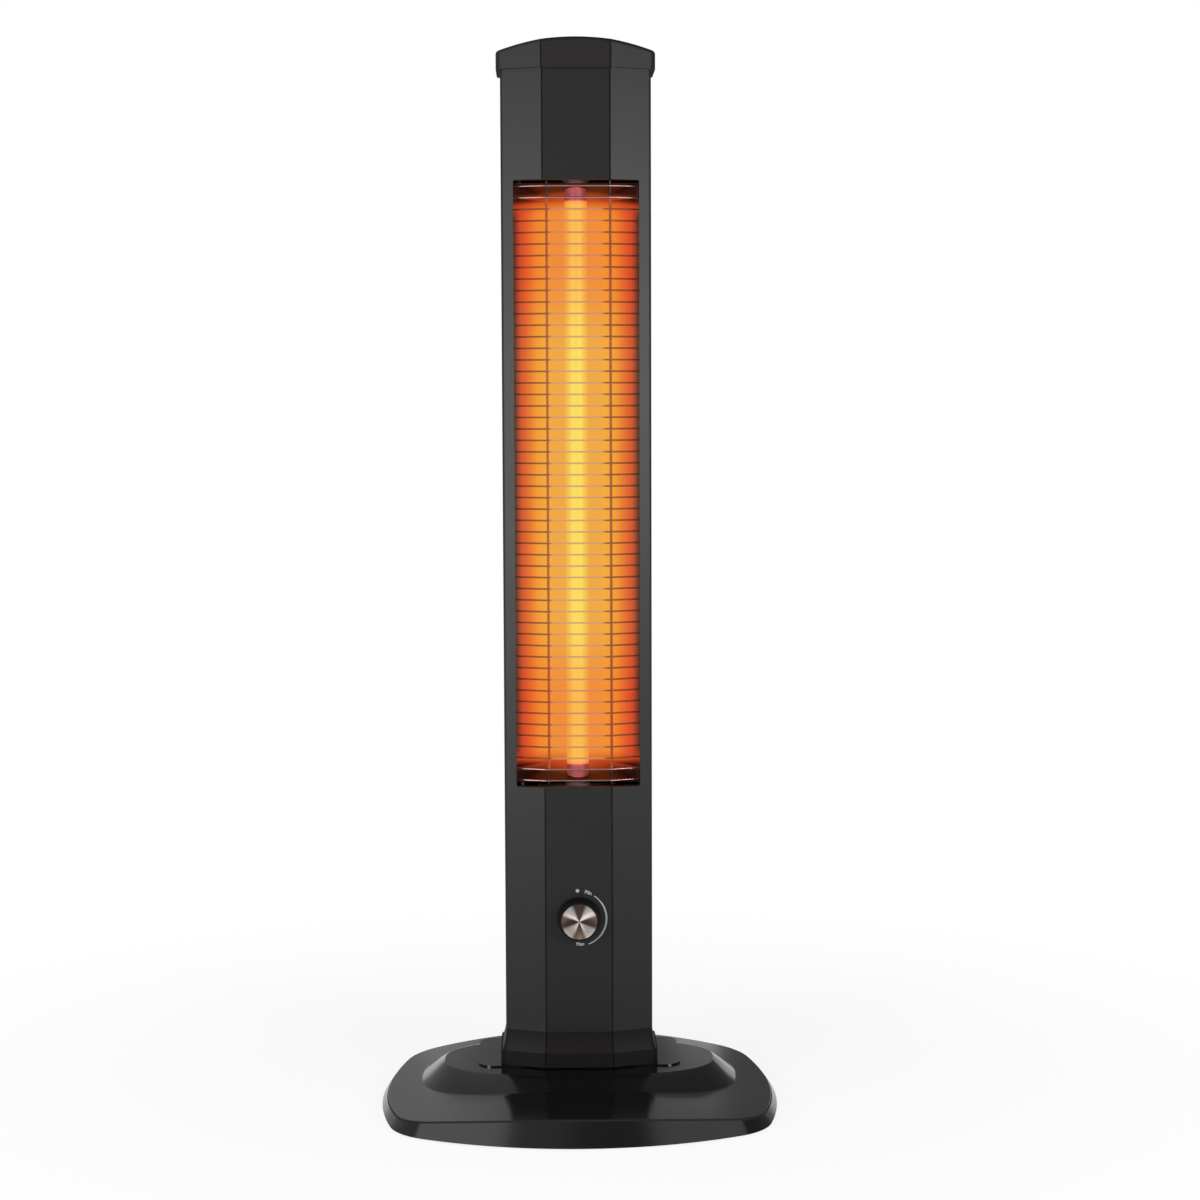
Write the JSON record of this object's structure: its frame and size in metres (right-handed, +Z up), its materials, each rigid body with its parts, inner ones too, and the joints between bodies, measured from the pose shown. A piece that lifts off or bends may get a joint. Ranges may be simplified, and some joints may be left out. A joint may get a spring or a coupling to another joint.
{
  "type": "free-standing tower heater",
  "caption": "Slim tower heater: faceted column with a tall guarded lamp window, a turning power knob, a domed cap and a broad weighted base.",
  "frame": {"origin": "middle of the base's outline, on the floor under the rubber feet", "axes": "+Z up, +X to the right seen from the front, +Y to the back; the window and knob face -Y"},
  "size_m": [0.322, 0.294, 0.8563],
  "materials": {
    "black_moulding": "satin moulded, fine grain",
    "dark_powder_coat": "matt dark powder coat",
    "bright_wire": "chromed wire",
    "polished_reflector": "mirror polished sheet",
    "zinc_sheet": "zinc-plated sheet",
    "zinc_screw": "zinc-plated",
    "quartz": "clear",
    "glowing_carbon": "glowing",
    "white_ceramic": "unglazed",
    "spun_metal": "spun",
    "black_rubber": "matt",
    "circuit_board": "solder mask",
    "light_nylon": "moulded",
    "lead_sleeve": "glass-silicone sleeve"
  },
  "bodies": {
    "heater": {"base_shell": "black_moulding", "foot_collar": "black_moulding", "column_shoe": "black_moulding", "top_cap": "black_moulding", "cord_bush": "black_moulding", "front_profile": "dark_powder_coat", "rear_cover": "dark_powder_coat", "wire_guard": "bright_wire", "reflector": "polished_reflector", "reflector_end_upper": "polished_reflector", "reflector_end_lower": "polished_reflector", "upper_bulkhead": "zinc_sheet", "lower_bulkhead": "zinc_sheet", "base_plate": "zinc_sheet", "foot_frame": "zinc_sheet", "control_bracket": "zinc_sheet", "lamp_clips": "zinc_sheet", "base_plate_screws": "zinc_screw", "foot_bolts": "zinc_screw", "column_screws": "zinc_screw", "rear_cover_screws": "zinc_screw", "cap_screws": "zinc_screw", "regulator_nut": "zinc_screw", "lamp_tube": "quartz", "carbon_element": "glowing_carbon", "lamp_end_upper": "white_ceramic", "lamp_end_lower": "white_ceramic", "rubber_feet": "black_rubber", "regulator_body": "light_nylon", "control_board": "circuit_board", "heat_sink": "spun_metal", "terminal_block": "light_nylon", "board_standoffs": "light_nylon", "thermal_cutout": "light_nylon", "upper_lead": "lead_sleeve", "lower_lead": "lead_sleeve", "cutout_lead": "lead_sleeve", "tip_switch_housing": "light_nylon", "tip_microswitch": "black_moulding"},
    "knob": {"knob_body": "black_moulding", "knob_face": "spun_metal", "regulator_shaft": "zinc_screw"},
    "tip_over_plunger": {"tip_plunger": "light_nylon", "tip_spring": "zinc_screw"}
  },
  "joints": [
    {"name": "knob_turn", "type": "hinge", "parent": "heater", "child": "knob", "pos_m": [0, -0.0116, 0.1506], "axis": [0, 1, 0], "range_deg": [0, 180]},
    {"name": "tip_over_slide", "type": "slide", "parent": "heater", "child": "tip_over_plunger", "axis": [0, 0, -1], "range_m": [0, 0.0055], "stiffness_N_per_m": 120, "springref_m": 0.008, "deforming": ["tip_spring"]}
  ]
}
